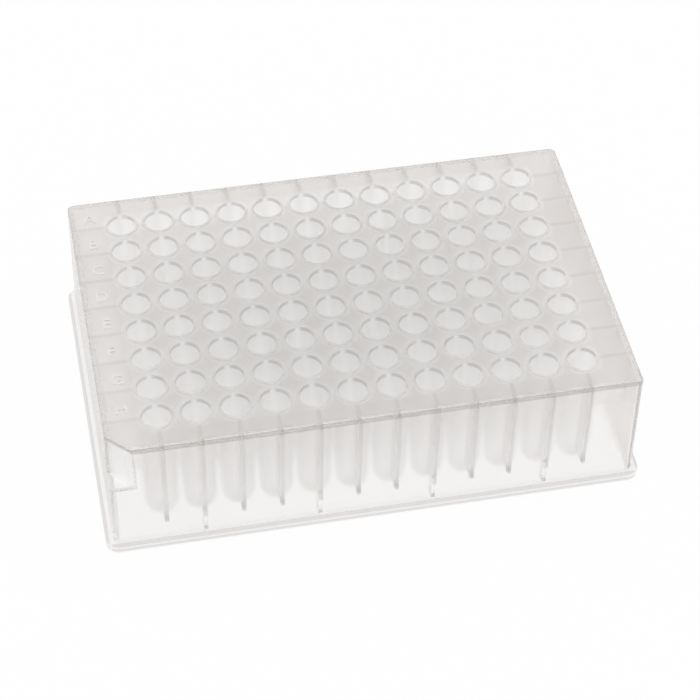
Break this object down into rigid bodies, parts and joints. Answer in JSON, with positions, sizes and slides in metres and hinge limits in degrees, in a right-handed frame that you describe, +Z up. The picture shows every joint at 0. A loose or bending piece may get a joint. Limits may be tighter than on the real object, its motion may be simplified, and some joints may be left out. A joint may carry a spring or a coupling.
{
  "type": "deep well plate",
  "caption": "Deep well plate: one translucent skirted block whose round-bottomed wells hang in a square grid, with raised well rims, a stepped base and one keyed corner.",
  "frame": {"origin": "centre of the base plane that the plate stands on", "axes": "+X along a row of twelve wells from column 1 to column 12, +Y from row H to row A, +Z up out of the wells"},
  "size_m": [0.1278, 0.0854, 0.0333],
  "materials": {
    "natural_polypropylene": "satin"
  },
  "bodies": {
    "root": {"well_plate": "natural_polypropylene"}
  },
  "joints": []
}
